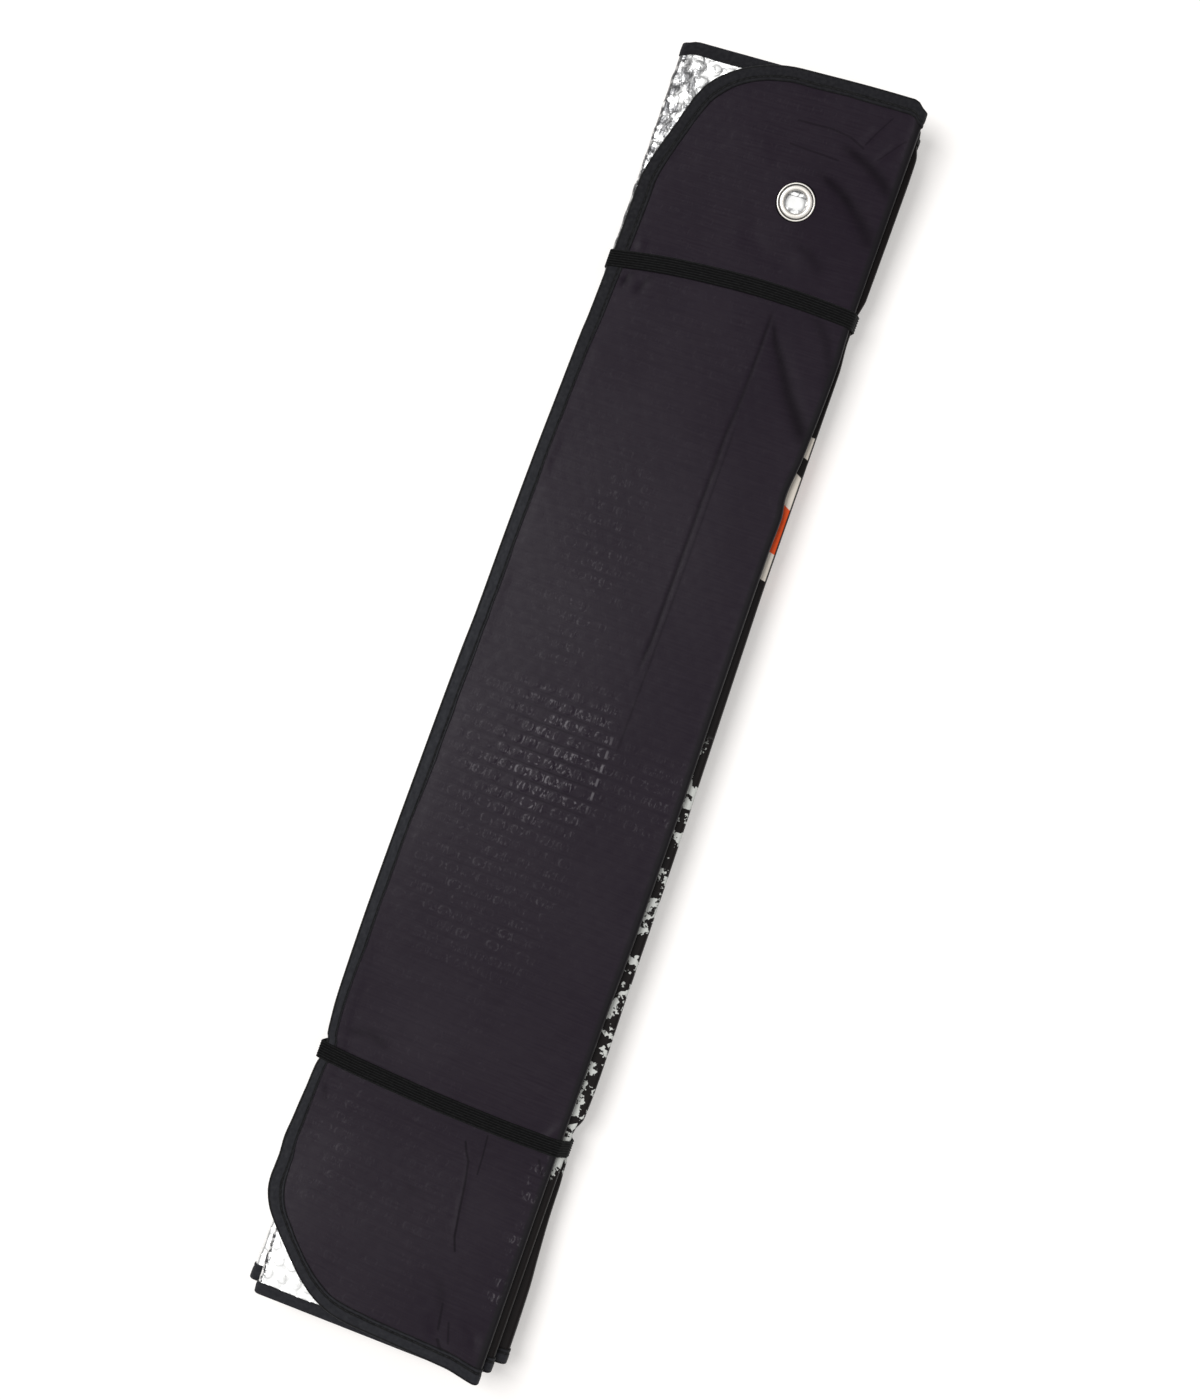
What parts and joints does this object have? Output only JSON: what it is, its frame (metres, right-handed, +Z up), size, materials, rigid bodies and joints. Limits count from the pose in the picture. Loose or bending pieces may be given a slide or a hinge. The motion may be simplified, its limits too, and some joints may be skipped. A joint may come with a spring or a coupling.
{
  "type": "folding car windscreen sunshade",
  "caption": "Folding windscreen sunshade of dark cloth over silver bubble foil, zigzag folded into a flat bundle held by elastic straps, with bound edges and metal eyelets.",
  "frame": {"origin": "under the middle of the folded bundle, on the surface it lies on", "axes": "+Y along the folds towards the end with the eyelet, +Z up out of the first panel, +X across the panels away from the first panel's free edge"},
  "size_m": [0.1458, 0.7018, 0.0396],
  "materials": {
    "coated_cloth": "thin coated polyester, dark charcoal with a violet cast and a low sheen, printed on its inner panels",
    "silver_bubble_foil": "bright metallised film over small round bubbles",
    "binding_tape": "black woven polyester tape with a stitch line",
    "elastic_band": "black braided elastic with lengthwise ribs",
    "nickel": "polished nickel plate"
  },
  "bodies": {
    "root": {"face_cloth": "coated_cloth", "bubble_foil": "silver_bubble_foil", "edge_binding": "binding_tape", "elastic_strap_upper": "elastic_band", "elastic_strap_lower": "elastic_band", "eyelet_upper": "nickel", "eyelet_washer_upper": "nickel", "eyelet_lower": "nickel", "eyelet_washer_lower": "nickel"}
  },
  "joints": []
}
